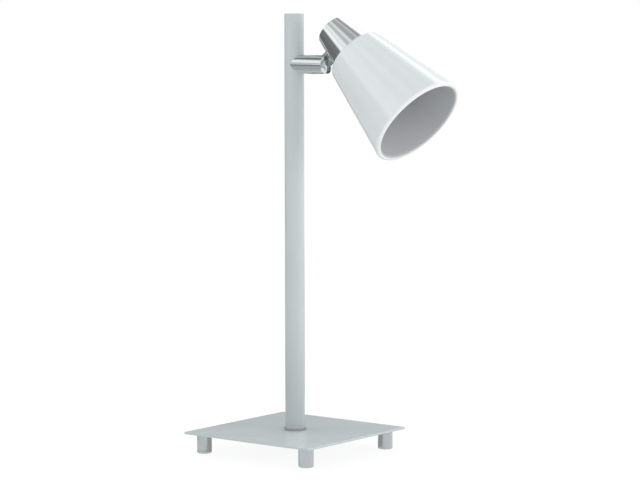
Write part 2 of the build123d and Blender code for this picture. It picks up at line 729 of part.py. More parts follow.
def socket_insulator():
    """Ceramic dish on the holder's floor: the contact lies in it and the shell stands on its rim."""
    inside = SOCKET_RADIUS - INSULATOR_RIM
    dish = lathe(
        [
            (0, HOLDER_FLOOR),
            (SOCKET_RADIUS, HOLDER_FLOOR),
            (SOCKET_RADIUS, SOCKET_BACK),
            (inside, SOCKET_BACK),
            (inside, INSULATOR_FRONT),
            (0, INSULATOR_FRONT),
        ]
    )
    return HEAD * dish


def socket_shell():
    """Brass sleeve that the bulb's cap screws in to."""
    return HEAD * ring(SOCKET_RADIUS, SOCKET_BORE / 2, SOCKET_BACK, SOCKET_FRONT)


def centre_contact():
    """Sprung brass strip on the insulator, lifted at its free end."""
    half = CONTACT_LENGTH / 2
    thick = CONTACT_THICKNESS
    floor = INSULATOR_FRONT
    profile = Polyline(
        (-half, 0, floor),
        (-half + CONTACT_STEP, 0, floor),
        (-half + 2 * CONTACT_STEP, 0, floor + CONTACT_LIFT - thick),
        (half, 0, floor + CONTACT_LIFT - thick),
        (half, 0, floor + CONTACT_LIFT),
        (-half + 2 * CONTACT_STEP - thick, 0, floor + CONTACT_LIFT),
        (-half + CONTACT_STEP - thick, 0, floor + thick),
        (-half, 0, floor + thick),
        close=True,
    )
    return HEAD * extrude(make_face(profile), CONTACT_WIDTH / 2, dir=(0, 1, 0), both=True)


def terminal_places():
    """Where the two terminals stand on the holder's back, one each side of the bracket."""
    return [Pos(0, TERMINAL_OFFSET, 0), Pos(0, -TERMINAL_OFFSET, 0)]


def terminals():
    """Two brass blocks on the holder's back, each with a wire hole and a screw hole."""
    block = Pos(0, 0, HOLDER_BACK) * Box(TERMINAL_LENGTH, TERMINAL_WIDTH, TERMINAL_HEIGHT, align=UNDER_FLOOR)
    screw_hole = rod(TERMINAL_SCREW_DIAMETER / 2 + FIT_GAP, HOLDER_BACK - TERMINAL_HEIGHT, HOLDER_BACK)
    return Compound(children=[HEAD * (at * (block - screw_hole)) for at in terminal_places()])


def terminal_screws():
    """One slotted screw in each terminal."""
    top = HOLDER_BACK - TERMINAL_HEIGHT
    shank = rod(TERMINAL_SCREW_DIAMETER / 2, top, HOLDER_BACK - FIT_GAP)
    head = rod(TERMINAL_SCREW_HEAD / 2, top - TERMINAL_SCREW_HEAD_THICKNESS, top)
    slot = Box(TERMINAL_SCREW_HEAD, TERMINAL_SCREW_SLOT, TERMINAL_SCREW_SLOT, align=ON_FLOOR)
    screw = shank + head - Pos(0, 0, top - TERMINAL_SCREW_HEAD_THICKNESS) * slot
    return Compound(children=[HEAD * (at * screw) for at in terminal_places()])


def shade():
    """Thick pressed glass cone with a round lip, rounded shoulders and a hole for the holder."""
    wall_across = SHADE_WALL / cos(radians(SHADE_SIDE_ANGLE))
    floor = SHADE_BACK + SHADE_WALL
    mouth = SHADE_MOUTH_DIAMETER / 2
    inner_mouth = mouth - wall_across
    inner_floor = shade_radius(floor) - wall_across
    hole = SHADE_HOLE_DIAMETER / 2
    lip = (SHADE_WALL - SHADE_LIP_FLAT) / 2
    cone = lathe(
        [
            (hole, SHADE_BACK),
            (shade_radius(SHADE_BACK), SHADE_BACK),
            (mouth, 0),
            (inner_mouth, 0),
            (inner_floor, floor),
            (hole, floor),
        ],
        rounds=[
            ((shade_radius(SHADE_BACK), SHADE_BACK), SHADE_SHOULDER_RADIUS),
            ((inner_floor, floor), SHADE_INNER_SHOULDER_RADIUS),
            ((mouth, 0), lip),
            ((inner_mouth, 0), lip),
        ],
    )
    return HEAD * cone


def shade_ring():
    """Notched ring screwed on the holder, which clamps the shade against the flange."""
    back = SHADE_BACK + SHADE_WALL
    front = back + RING_THICKNESS
    body = ring(RING_DIAMETER / 2, HOLDER_DIAMETER / 2 + FIT_GAP, back, front)
    notch = rod(RING_NOTCH_RADIUS, back, front)
    for turn in range(RING_NOTCHES):
        body -= Rot(0, 0, turn * 360 / RING_NOTCHES) * (Pos(RING_DIAMETER / 2, 0, 0) * notch)
    return HEAD * body


def all_parts():
    """Every node's name and solid."""
    parts = {
        "base_plate": base_plate(),
        "foot_studs": foot_studs(),
        "swivel_washer": swivel_washer(),
        "slide_washer": slide_washer(),
        "stop_pin": stop_pin(),
        "post_ferrule": post_ferrule(),
        "post_nipple": post_nipple(),
        "stop_washer": stop_washer(),
        "spring_washer": spring_washer(),
        "post_nut": post_nut(),
        "lead_bush": lead_bush(),
        "post_tube": post_tube(),
        "post_cap": post_cap(),
        "arm_anchor": arm_anchor(),
        "arm_nipple": arm_nipple(),
        "arm": arm(),
        "arm_set_screw": arm_set_screw(),
        "friction_washers": friction_washers(),
        "pivot_screw": pivot_screw(),
        "head_tab": head_tab(),
        "lamp_cap": lamp_cap(),
        "wire_grommet": wire_grommet(),
        "holder_bracket": holder_bracket(),
        "tab_nut": tab_nut(),
        "holder_nipple": holder_nipple(),
        "holder_nut": holder_nut(),
        "lamp_holder": lamp_holder(),
        "socket_insulator": socket_insulator(),
        "socket_shell": socket_shell(),
        "centre_contact": centre_contact(),
        "terminals": terminals(),
        "terminal_screws": terminal_screws(),
        "shade": shade(),
        "shade_ring": shade_ring(),
    }
    for name, (x, y) in foot_places().items():
        parts["foot_" + name] = Pos(x, y, 0) * foot()
        parts["pad_" + name] = Pos(x, y, 0) * foot_pad()
    return parts


# Where the swivel's tab meets its pin, for the range of the turn
stop_contact = degrees(asin((STOP_TAB_WIDTH / 2 + STOP_PIN_DIAMETER / 2) / STOP_PIN_RADIUS))
print("swivel stops at", round(180 - stop_contact, 1), "degrees each way")
print("pivot at", PIVOT_X, ARM_HEIGHT)
print("mouth centre at", MOUTH_CENTRE)

os.makedirs("parts", exist_ok=True)
for name, solid in all_parts().items():
    export_step(solid, f"parts/{name}.step")
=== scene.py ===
import json
from math import cos, pi, radians, sin

import bmesh
import bpy
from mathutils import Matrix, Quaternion, Vector

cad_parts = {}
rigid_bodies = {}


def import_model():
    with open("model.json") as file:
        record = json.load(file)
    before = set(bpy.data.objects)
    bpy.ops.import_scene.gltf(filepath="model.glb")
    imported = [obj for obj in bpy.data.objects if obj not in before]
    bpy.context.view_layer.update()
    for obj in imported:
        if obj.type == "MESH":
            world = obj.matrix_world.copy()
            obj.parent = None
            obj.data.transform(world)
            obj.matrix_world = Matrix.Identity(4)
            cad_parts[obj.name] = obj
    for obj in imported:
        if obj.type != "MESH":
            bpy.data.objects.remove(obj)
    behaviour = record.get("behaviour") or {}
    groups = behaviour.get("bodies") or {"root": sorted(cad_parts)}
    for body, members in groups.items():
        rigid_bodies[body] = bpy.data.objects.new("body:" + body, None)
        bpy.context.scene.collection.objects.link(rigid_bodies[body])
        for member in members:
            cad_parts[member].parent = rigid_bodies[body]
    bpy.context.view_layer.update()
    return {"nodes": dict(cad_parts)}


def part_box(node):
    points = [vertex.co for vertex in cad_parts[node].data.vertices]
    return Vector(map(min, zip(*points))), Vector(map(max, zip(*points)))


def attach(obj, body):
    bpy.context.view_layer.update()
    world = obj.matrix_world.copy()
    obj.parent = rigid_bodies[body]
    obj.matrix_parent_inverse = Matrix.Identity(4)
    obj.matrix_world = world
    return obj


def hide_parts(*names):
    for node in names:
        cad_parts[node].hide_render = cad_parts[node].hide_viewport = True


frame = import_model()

nodes_by_name = frame["nodes"]

# Camera: the view that the photograph was taken from, in metres and degrees
CAMERA_PLACE = Vector((1.58514, -1.99730, 0.45691))
CAMERA_AZIMUTH = 37.898
CAMERA_ELEVATION = 5.701
CAMERA_ROLL = -0.095
CAMERA_LENS_MM = 152.15
SENSOR_MM = 36.0
CAMERA_CLIP_START = 0.1
CAMERA_CLIP_END = 60.0

# The head: the way that it points, and the middle of the shade's mouth
HEAD_PITCH = radians(40.0)
AIM = Vector((cos(HEAD_PITCH), 0.0, -sin(HEAD_PITCH)))
MOUTH_CENTRE = Vector((0.144642, 0.0, 0.318501))

UP = (0.0, 0.0, 1.0)
WHITE = (1.0, 1.0, 1.0, 1.0)


def direction(azimuth, elevation):
    """Unit vector at an azimuth, counted from -Y towards +X, and an elevation, in degrees."""
    turn = radians(azimuth)
    rise = radians(elevation)
    return Vector((sin(turn) * cos(rise), -cos(turn) * cos(rise), sin(rise)))


def make_camera():
    data = bpy.data.cameras.new("camera")
    data.lens = CAMERA_LENS_MM
    data.sensor_width = SENSOR_MM
    data.clip_start = CAMERA_CLIP_START
    data.clip_end = CAMERA_CLIP_END
    camera = bpy.data.objects.new("camera", data)
    bpy.context.scene.collection.objects.link(camera)
    camera.location = CAMERA_PLACE
    camera.rotation_mode = "QUATERNION"
    level = (-direction(CAMERA_AZIMUTH, CAMERA_ELEVATION)).to_track_quat("-Z", "Y")
    camera.rotation_quaternion = level @ Quaternion(UP, radians(CAMERA_ROLL))
    bpy.context.scene.camera = camera


# Shader nodes, for the stage and for the materials
def feed(tree, socket, value):
    """Link a socket to another socket, or else set it to a constant."""
    if isinstance(value, bpy.types.NodeSocket):
        tree.links.new(value, socket)
    else:
        socket.default_value = value


def linked(tree, kind, **inputs):
    """A new shader node with each named input fed."""
    node = tree.nodes.new(kind)
    for name, value in inputs.items():
        feed(tree, node.inputs[name.replace("_", " ")], value)
    return node


def maths(tree, operation, *values):
    """The result of one sum on numbers, each a socket or a constant."""
    node = tree.nodes.new("ShaderNodeMath")
    node.operation = operation
    for socket, value in zip(node.inputs, values):
        feed(tree, socket, value)
    return node.outputs["Value"]


def vector_maths(tree, operation, *values):
    """A node that does one sum on vectors, each a socket or a constant."""
    node = tree.nodes.new("ShaderNodeVectorMath")
    node.operation = operation
    for socket, value in zip(node.inputs, values):
        feed(tree, socket, value)
    return node


def dot(tree, vector, constant):
    """The dot product of a vector socket and a constant vector."""
    return vector_maths(tree, "DOT_PRODUCT", vector, constant).outputs["Value"]


def ramp(tree, value, low, high, start=0.0, end=1.0, smooth=False):
    """A number that goes from start to end as the value goes from low to high."""
    limits = {"From_Min": low, "From_Max": high, "To_Min": start, "To_Max": end}
    node = linked(tree, "ShaderNodeMapRange", Value=value, **limits)
    if smooth:
        node.interpolation_type = "SMOOTHSTEP"
    return node.outputs["Result"]


def mixed_number(tree, factor, first, second):
    """A number between two, each a socket or a constant."""
    node = linked(tree, "ShaderNodeMix", Factor=factor, A=first, B=second)
    return node.outputs["Result"]


def blend(tree, factor, first, second):
    """A colour between two, each a socket or three numbers, by a factor from 0 to 1."""
    node = tree.nodes.new("ShaderNodeMix")
    node.data_type = "RGBA"
    tree.links.new(factor, node.inputs["Factor"])
    colours = [socket for socket in node.inputs if socket.type == "RGBA"]
    for socket, colour in zip(colours, (first, second)):
        if isinstance(colour, bpy.types.NodeSocket):
            tree.links.new(colour, socket)
        else:
            socket.default_value = (*colour, 1.0)
    return next(socket for socket in node.outputs if socket.type == "RGBA")


# Studio above the floor, as mirrors see it: azimuth, half width, low, high, soft edge, and tone.
# Angles are in degrees. A zone that reaches higher than OVERHEAD goes all round.
STUDIO_ZONES = {
    "ceiling": (0.0, 180.0, 45.4, 90.0, 4.0, 0.60),
    "lamp over the front": (325.0, 50.0, 59.5, 70.0, 2.5, 0.84),
    "middle of the ceiling": (0.0, 180.0, 73.0, 90.0, 2.5, 0.45),
    "hatch in the ceiling": (222.0, 28.0, 76.0, 84.0, 1.5, 0.60),
    "dark strip at the back": (198.0, 50.0, 66.5, 73.0, 2.5, 0.30),
    "glow over the lamp": (198.0, 50.0, 52.0, 61.5, 1.5, 0.80),
    "back wall": (198.0, 65.0, -9.0, 38.0, 3.0, 1.10),
    "lamp over the back wall": (198.0, 60.0, 38.0, 53.5, 3.5, 2.2),
    "dark ceiling at the left": (260.0, 46.0, 34.0, 60.0, 3.0, 0.20),
    "room behind the camera": (50.0, 75.0, -9.0, 45.0, 6.0, 0.42),
    "dark wall at the left": (285.0, 36.0, -9.0, 16.0, 4.0, 0.21),
    "window at the front left": (315.0, 20.0, 19.0, 26.5, 2.5, 1.12),
    "window bar": (320.0, 20.0, 29.0, 34.5, 2.0, 0.88),
}
OVERHEAD = 89.0

# Light from all round on the object, which falls off from the first elevation to the second
SKY_LOW = 0.97
SKY_HIGH = 0.71
SKY_FALL = (30.0, 62.0)

# Floor: its side and drop, its white for eye and mirror, and the painted shade that darkens it
# near the lamp
FLOOR_SIDE = 30.0
FLOOR_DROP = 0.0002
FLOOR_GLOW = 0.88
FLOOR_WHITE = 1.04
FLOOR_COLOUR = (0.93, 0.93, 0.93)
NEAR_FLOOR_PAINTED_SHADE = (0.55, 0.56, 0.56)
NEAR_FLOOR_REACH = (0.10, 0.34)

# Dark mats on the floor, which only mirrors see: azimuth, near end, far end, width, fade along,
# fade across, and tone. Each lies one step above the last. They share one faint tint.
FLOOR_MATS = {
    "mat_at_the_front": (30.0, 0.30, 6.0, 9.0, 0.45, 2.0, 0.40),
    "mat_at_the_left": (285.0, 0.04, 3.2, 4.2, 0.30, 1.2, 0.42),
    "mat_at_the_front_left": (322.0, 0.90, 5.0, 2.6, 0.40, 0.8, 0.32),
    "far_mat_at_the_left": (271.0, 1.16, 16.6, 17.0, 0.60, 2.4, 0.17),
}
MAT_STEP = 0.0004
MAT_TINT = (1.0, 1.03, 1.05)

# The plate's shadow on the floor, as the feet mirror it
PLATE_SHADOW_MIDDLE = (-0.006, -0.003)
PLATE_SHADOW_SIDE = 0.156
PLATE_SHADOW_FADE = 0.022
PLATE_SHADOW_TONE = 0.48

# A dark mat that stands behind the plate, low enough for only the plate and feet to mirror it
FLAG_AZIMUTH = 218.0
FLAG_DISTANCE = 0.30
FLAG_WIDTH = 0.60
FLAG_TOP = 0.19
FLAG_FADE = 0.07
FLAG_TONE = 0.19

# Softboxes: target, azimuth, elevation, distance, width and height, and the brightness of the face
SOFTBOXES = {
    "softbox_front_left": (Vector((0.06, 0.0, 0.37)), 316.0, 26.0, 1.9, 0.66, 0.40, 1.6),
    "softbox_right": (Vector((0.0, 0.0, 0.22)), 98.0, 7.0, 1.6, 0.8, 0.6, 2.4),
}


def white_for_eye_and_mirror(tree):
    """1 for camera, glossy and transmission rays, and 0 for the rest."""
    path = tree.nodes.new("ShaderNodeLightPath")
    both = maths(tree, "MAXIMUM", path.outputs["Is Camera Ray"], path.outputs["Is Glossy Ray"])
    return maths(tree, "MAXIMUM", both, path.outputs["Is Transmission Ray"])


def zone(tree, ray, azimuth, half_width, low, high, soft):
    """1 where a ray's direction is near an azimuth and between two elevations, all in degrees."""
    height = dot(tree, ray, UP)
    above = ramp(tree, height, sin(radians(low - soft)), sin(radians(low + soft)), smooth=True)
    if high > OVERHEAD:
        return above
    below = ramp(tree, height, sin(radians(high + soft)), sin(radians(high - soft)), smooth=True)
    flat = vector_maths(tree, "MULTIPLY", ray, (1.0, 1.0, 0.0))
    unit = vector_maths(tree, "NORMALIZE", flat.outputs["Vector"])
    beside = dot(tree, unit.outputs["Vector"], direction(azimuth, 0.0))
    outer = cos(radians(half_width + soft))
    inner = cos(radians(half_width - soft))
    across = ramp(tree, beside, outer, inner, smooth=True)
    return maths(tree, "MULTIPLY", maths(tree, "MULTIPLY", above, below), across)


def make_world():
    """Plain pale light on the object, white behind it, and zones of tone for mirrors."""
    world = bpy.data.worlds.new("studio")
    world.use_nodes = True
    bpy.context.scene.world = world
    tree = world.node_tree
    ray = tree.nodes.new("ShaderNodeTexCoord").outputs["Generated"]
    mirrored = 1.0
    for azimuth, half_width, low, high, soft, tone in STUDIO_ZONES.values():
        inside = zone(tree, ray, azimuth, half_width, low, high, soft)
        mirrored = mixed_number(tree, inside, mirrored, tone)
    glossy = tree.nodes.new("ShaderNodeLightPath").outputs["Is Glossy Ray"]
    seen = mixed_number(tree, glossy, 1.0, mirrored)
    fall = (sin(radians(elevation)) for elevation in SKY_FALL)
    sky = ramp(tree, dot(tree, ray, UP), *fall, SKY_LOW, SKY_HIGH, smooth=True)
    background = tree.nodes["Background"]
    background.inputs["Color"].default_value = WHITE
    level = mixed_number(tree, white_for_eye_and_mirror(tree), sky, seen)
    tree.links.new(level, background.inputs["Strength"])


def stage_material(thing, name):
    """The empty node tree of a new material on a piece of the stage."""
    material = bpy.data.materials.new(name)
    material.use_nodes = True
    material.node_tree.nodes.clear()
    thing.data.materials.append(material)
    return material.node_tree


def show_mix(tree, share, first, second):
    """Send a mix of two shader nodes to the material's output."""
    mix = linked(tree, "ShaderNodeMixShader", Fac=share)
    tree.links.new(first.outputs[0], mix.inputs[1])
    tree.links.new(second.outputs[0], mix.inputs[2])
    linked(tree, "ShaderNodeOutputMaterial", Surface=mix.outputs[0])


def floor_colour(tree):
    """The floor's colour, with painted shade that darkens it near the lamp, for every ray but the
    camera's.
    """
    spot = tree.nodes.new("ShaderNodeNewGeometry").outputs["Position"]
    distance = vector_maths(tree, "LENGTH", spot).outputs["Value"]
    away = ramp(tree, distance, *NEAR_FLOOR_REACH, smooth=True)
    camera_ray = tree.nodes.new("ShaderNodeLightPath").outputs["Is Camera Ray"]
    bounced = maths(tree, "SUBTRACT", 1.0, camera_ray)
    near = maths(tree, "MULTIPLY", bounced, maths(tree, "SUBTRACT", 1.0, away))
    return blend(tree, near, FLOOR_COLOUR, NEAR_FLOOR_PAINTED_SHADE)


def make_floor():
    """White floor that keeps a soft shadow of the lamp."""
    bpy.ops.mesh.primitive_plane_add(size=FLOOR_SIDE, location=(0.0, 0.0, -FLOOR_DROP))
    floor = bpy.context.active_object
    floor.name = "floor"
    tree = stage_material(floor, "floor_white")
    diffuse = linked(tree, "ShaderNodeBsdfDiffuse", Color=floor_colour(tree))
    glow = linked(tree, "ShaderNodeEmission", Color=WHITE, Strength=FLOOR_WHITE)
    share = maths(tree, "MULTIPLY", white_for_eye_and_mirror(tree), FLOOR_GLOW)
    show_mix(tree, share, diffuse, glow)


def mat_cover(tree, width, length, fade_across, fade_along):
    """1 on a mat, and 0 past its faded edges."""
    place = tree.nodes.new("ShaderNodeTexCoord").outputs["Object"]
    across = maths(tree, "ABSOLUTE", dot(tree, place, (1.0, 0.0, 0.0)))
    along = maths(tree, "ABSOLUTE", dot(tree, place, (0.0, 1.0, 0.0)))
    inside = ramp(tree, across, 0.5, 0.5 - fade_across / width, smooth=True)
    ahead = ramp(tree, along, 0.5, 0.5 - fade_along / length, smooth=True)
    return maths(tree, "MULTIPLY", inside, ahead)


def dark_mat(name, centre, turn, width, length, fade_across, fade_along, tone):
    """A flat mat with faded edges, lying or standing, that only glossy rays see."""
    bpy.ops.mesh.primitive_plane_add(size=1.0, location=centre)
    mat = bpy.context.active_object
    mat.name = name
    mat.scale = (width, length, 1.0)
    mat.rotation_euler = turn
    tree = stage_material(mat, name)
    cover = mat_cover(tree, width, length, fade_across, fade_along)
    colour = (*(tone * part for part in MAT_TINT), 1.0)
    glow = linked(tree, "ShaderNodeEmission", Color=colour)
    clear = tree.nodes.new("ShaderNodeBsdfTransparent")
    show_mix(tree, cover, clear, glow)
    mat.visible_camera = False
    mat.visible_diffuse = False
    mat.visible_shadow = False
    mat.visible_transmission = False


def make_floor_mats():
    """Dark mats one just above another, for the dark side of the chrome."""
    for index, name in enumerate(FLOOR_MATS, start=1):
        azimuth, near, far, width, fade_along, fade_across, tone = FLOOR_MATS[name]
        middle = direction(azimuth, 0.0) * (near + far) / 2
        place = Vector((middle.x, middle.y, index * MAT_STEP))
        turn = (0.0, 0.0, radians(azimuth) + pi)
        dark_mat(name, place, turn, width, far - near, fade_across, fade_along, tone)


def make_plate_shadow():
    place = (*PLATE_SHADOW_MIDDLE, (len(FLOOR_MATS) + 1) * MAT_STEP)
    size = (PLATE_SHADOW_SIDE, PLATE_SHADOW_SIDE)
    fades = (PLATE_SHADOW_FADE, PLATE_SHADOW_FADE)
    dark_mat("shadow_of_the_plate", place, (0.0, 0.0, 0.0), *size, *fades, PLATE_SHADOW_TONE)


def make_flag():
    place = direction(FLAG_AZIMUTH, 0.0) * FLAG_DISTANCE
    turn = (pi / 2, 0.0, radians(FLAG_AZIMUTH))
    size = (FLAG_WIDTH, 2 * FLAG_TOP)
    dark_mat("flag_behind", place, turn, *size, FLAG_FADE, FLAG_FADE, FLAG_TONE)


def softbox(name, place, width, height, radiance, target):
    """A rectangular lamp whose face has a given brightness, 1 being display white."""
    data = bpy.data.lights.new(name, "AREA")
    data.shape = "RECTANGLE"
    data.size = width
    data.size_y = height
    data.energy = radiance * width * height * pi
    lamp = bpy.data.objects.new(name, data)
    bpy.context.scene.collection.objects.link(lamp)
    lamp.location = place
    lamp.rotation_mode = "QUATERNION"
    lamp.rotation_quaternion = (target - place).to_track_quat("-Z", "Y")
    lamp.visible_glossy = False
    lamp.visible_camera = False


def make_lights():
    for name, (target, azimuth, elevation, distance, *face) in SOFTBOXES.items():
        place = target + direction(azimuth, elevation) * distance
        softbox(name, place, *face, target)


# Pieces that the solids leave plain, all turned about an axis: threads and soft pads
PIECES = []


class Axle:
    """An axis in space, and the way that angle zero points from it."""

    def __init__(self, origin, along, side):
        self.origin = Vector(origin)
        self.along = Vector(along)
        self.side = Vector(side)
        self.across = self.along.cross(self.side)

    def point(self, radius, angle, station):
        out = self.side * cos(angle) + self.across * sin(angle)
        return self.origin + self.along * station + out * radius


def ring_points(axle, rows, segments):
    """The vertices. A row is a radius and a station, or a function that gives them by angle."""
    points = []
    for row in rows:
        for step in range(segments):
            angle = 2 * pi * step / segments
            radius, station = row(angle) if callable(row) else row
            points.append(axle.point(radius, angle, station))
    return points


def ring_faces(count, segments, closed):
    """Faces between neighbouring rows, and then either back to the first row or over both ends."""
    faces = []
    last = count if closed else count - 1
    for index in range(last):
        near = index * segments
        far = (index + 1) % count * segments
        for step in range(segments):
            after = (step + 1) % segments
            faces.append((near + step, near + after, far + after, far + step))
    if not closed:
        faces.append(tuple(reversed(range(segments))))
        faces.append(tuple(range(last * segments, (last + 1) * segments)))
    return faces


def turned_piece(name, axle, rows, segments, closed):
    """A smooth mesh of rings, noted in PIECES."""
    mesh = bpy.data.meshes.new(name)
    points = ring_points(axle, rows, segments)
    mesh.from_pydata(points, [], ring_faces(len(rows), segments, closed))
    shaper = bmesh.new()
    shaper.from_mesh(mesh)
    bmesh.ops.recalc_face_normals(shaper, faces=shaper.faces)
    shaper.to_mesh(mesh)
    shaper.free()
    for polygon in mesh.polygons:
        polygon.use_smooth = len(polygon.vertices) == 4
    piece = bpy.data.objects.new(name, mesh)
    bpy.context.scene.collection.objects.link(piece)
    PIECES.append(name)
    return piece


def eased(value, length):
    """From 0 to 1, softly, as a value goes from 0 to a length."""
    share = min(max(value / length, 0.0), 1.0)
    return share * share * (3 - 2 * share)


# The head's axis: stations run along it from the shade's mouth, and angles start on the arm's side
TO_ARM = Vector((-sin(HEAD_PITCH), 0.0, -cos(HEAD_PITCH)))
HEAD_AXLE = Axle(MOUTH_CENTRE, AIM, TO_ARM)
ROWS_PER_TURN = 12

# The brass shell's rolled thread: 14 mm, 9 threads to the inch
SHELL_BACK = -0.0937
SHELL_FRONT = -0.0703
SHELL_INSIDE = 0.00676
SHELL_WAVE = 0.00030
SHELL_WALL = 0.00038
SHELL_PITCH = 0.00282
SHELL_PLAIN = 0.0012
SHELL_SEGMENTS = 60


def shell_row(station, extra):
    """One ring of the shell, its radius going in and out with the thread."""
    fade = eased(station - SHELL_BACK, SHELL_PLAIN) * eased(SHELL_FRONT - station, SHELL_PLAIN)

    def place(angle):
        wave = cos(2 * pi * (station - SHELL_BACK) / SHELL_PITCH - angle)
        return SHELL_INSIDE + extra + SHELL_WAVE * wave * fade, station

    return place


def make_socket_shell():
    count = round((SHELL_FRONT - SHELL_BACK) / SHELL_PITCH * ROWS_PER_TURN)
    step = (SHELL_FRONT - SHELL_BACK) / count
    stations = [SHELL_BACK + step * index for index in range(count + 1)]
    rows = [shell_row(station, 0.0) for station in stations]
    rows += [shell_row(station, SHELL_WALL) for station in reversed(stations)]
    shell = turned_piece("socket_shell_thread", HEAD_AXLE, rows, SHELL_SEGMENTS, closed=True)
    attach(shell, "head")
    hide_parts("socket_shell")


# The thread on the lamp holder's barrel, for the ring that holds the shade
BARREL_RADIUS = 0.0134
BARREL_PROUD = 0.00002
BARREL_SUNK = 0.0002
BARREL_THREAD_BACK = -0.0842
BARREL_THREAD_FRONT = -0.0660
BARREL_THREAD_HEIGHT = 0.00042
BARREL_THREAD_PITCH = 0.0020
BARREL_THREAD_RUNOUT = 0.0014
BARREL_FLANK = 1.6
BARREL_ROOT = 0.3
BARREL_SEGMENTS = 72


def barrel_row(station):
    """One ring of the barrel's thread: a flat-topped ridge that fades out at both ends."""
    ends = eased(station - BARREL_THREAD_BACK, BARREL_THREAD_RUNOUT)
    ends *= eased(BARREL_THREAD_FRONT - station, BARREL_THREAD_RUNOUT)

    def place(angle):
        turn = (station - BARREL_THREAD_BACK) / BARREL_THREAD_PITCH - angle / (2 * pi)
        crest = abs(2 * (turn % 1.0) - 1)
        share = min(max(BARREL_FLANK * crest - BARREL_ROOT, 0.0), 1.0)
        height = share * BARREL_THREAD_HEIGHT * ends
        return BARREL_RADIUS + BARREL_PROUD + height, station

    return place


def make_barrel_thread():
    length = BARREL_THREAD_FRONT - BARREL_THREAD_BACK
    count = round(length / BARREL_THREAD_PITCH * ROWS_PER_TURN)
    stations = [BARREL_THREAD_BACK + length * index / count for index in range(count + 1)]
    rows = [barrel_row(station) for station in stations]
    inner = BARREL_RADIUS - BARREL_SUNK
    rows += [(inner, BARREL_THREAD_FRONT), (inner, BARREL_THREAD_BACK)]
    thread = turned_piece("lamp_holder_thread", HEAD_AXLE, rows, BARREL_SEGMENTS, closed=True)
    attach(thread, "head")


# A soft pad under each foot: crowned below, with a moulded groove and a rounded edge
PAD_CROWN = 0.00028
PAD_GROOVE_RADIUS = 0.0030
PAD_GROOVE_WIDTH = 0.0005
PAD_GROOVE_DEPTH = 0.0002
PAD_EDGE = 0.0005
PAD_TOP_BEVEL = 0.0001
PAD_FLAT_STEPS = 24
PAD_EDGE_STEPS = 6
PAD_SEGMENTS = 48


def pad_rows(radius, top):
    """Rings of a pad from its middle below, out and up to its top."""
    rows = []
    flat = radius - PAD_EDGE
    for step in range(1, PAD_FLAT_STEPS + 1):
        at = flat * step / PAD_FLAT_STEPS
        groove = eased(PAD_GROOVE_WIDTH - abs(at - PAD_GROOVE_RADIUS), PAD_GROOVE_WIDTH)
        rows.append((at, PAD_CROWN * eased(at - flat / 2, flat / 2) + PAD_GROOVE_DEPTH * groove))
    for step in range(1, PAD_EDGE_STEPS + 1):
        turn = pi / 2 * step / PAD_EDGE_STEPS
        rows.append((flat + PAD_EDGE * sin(turn), PAD_CROWN + PAD_EDGE * (1 - cos(turn))))
    rows.append((radius, top - PAD_TOP_BEVEL))
    rows.append((radius - PAD_TOP_BEVEL, top))
    return rows


def make_pads():
    for corner in ("front_left", "front_right", "back_left", "back_right"):
        low, high = (Vector(point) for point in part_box("pad_" + corner))
        middle = (low + high) / 2
        axle = Axle((middle.x, middle.y, low.z), UP, (1.0, 0.0, 0.0))
        rows = pad_rows((high.x - low.x) / 2, high.z - low.z)
        pad = turned_piece("soft_pad_" + corner, axle, rows, PAD_SEGMENTS, closed=False)
        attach(pad, "base")
        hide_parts("pad_" + corner)


# Materials: scales of noise are in cycles per metre, and most of a noise lies within this span
NOISE_SPAN = (0.35, 0.65)
NOISE_DETAIL = 3.0

# Silver lacquer on plate and post
SILVER_DARK = (0.615, 0.675, 0.690)
SILVER_LIGHT = (0.650, 0.708, 0.722)
SILVER_METALLIC = 0.12
SILVER_SPECULAR = 0.35
SILVER_COAT = 0.40
SILVER_COAT_ROUGHNESS = 0.10
SILVER_ROUGHNESS = (0.40, 0.48)
SILVER_CLOUD_SCALE = 9.0
SILVER_WEAR_SCALE = 60.0
FLAKE_SCALE = 6000.0
FLAKE_DETAIL = 1.0
FLAKE_DEPTH = 0.00002
FLAKE_STRENGTH = 0.35

# The post is darker low down: painted shade near the plate.
SHADED_HEIGHTS = (0.025, 0.150)
SHADED_TONE = 0.82
# The plate is paler, painted light, and its thin sides a little less so.
PLATE_PAINTED_LIGHT = 1.12
RIM_FACING = (0.2, 0.6)
PAINTED_RIM_COLOUR = (0.66, 0.71, 0.725)

# Turned feet: the rings are noise, with its scale, its detail and its stretch along each axis
TURNED_METALLIC = 0.75
TURNED_DARK = (0.525, 0.560, 0.570)
TURNED_LIGHT = (0.545, 0.580, 0.590)
TURNED_ROUGHNESS = (0.17, 0.24)
TURNED_WEAR_SCALE = 150.0
TURNED_RINGS = (1500.0, 2.0, (0.01, 0.01, 1.0))
TURNED_DEPTH = 0.000003
TURNED_STRENGTH = 0.2

# Shade: its outer cone, how deep its skin goes and where its lip begins, in metres from the mouth
SHADE_MOUTH_RADIUS = 0.04835
SHADE_TAPER = 0.21097
SKIN_DEPTH = (0.0034, 0.0050)
LIP_STATIONS = (-0.0032, -0.0012)
SHADE_CLOUD_SCALE = 14.0
SHADE_OUTSIDE = ((0.780, 0.832, 0.848), (0.805, 0.855, 0.868))
# Inside, a grey darker than the glass outside: painted shade in the shade's hollow.
SHADE_INSIDE_PAINTED_SHADE = ((0.515, 0.532, 0.552), (0.540, 0.556, 0.575))
# Near the mouth the outside turns paler: painted light on the lip.
SHADE_LIP_PAINTED_LIGHT = (0.90, 0.92, 0.925)
SHADE_ROUGHNESS = (0.15, 0.5)
SHADE_IOR = 1.8

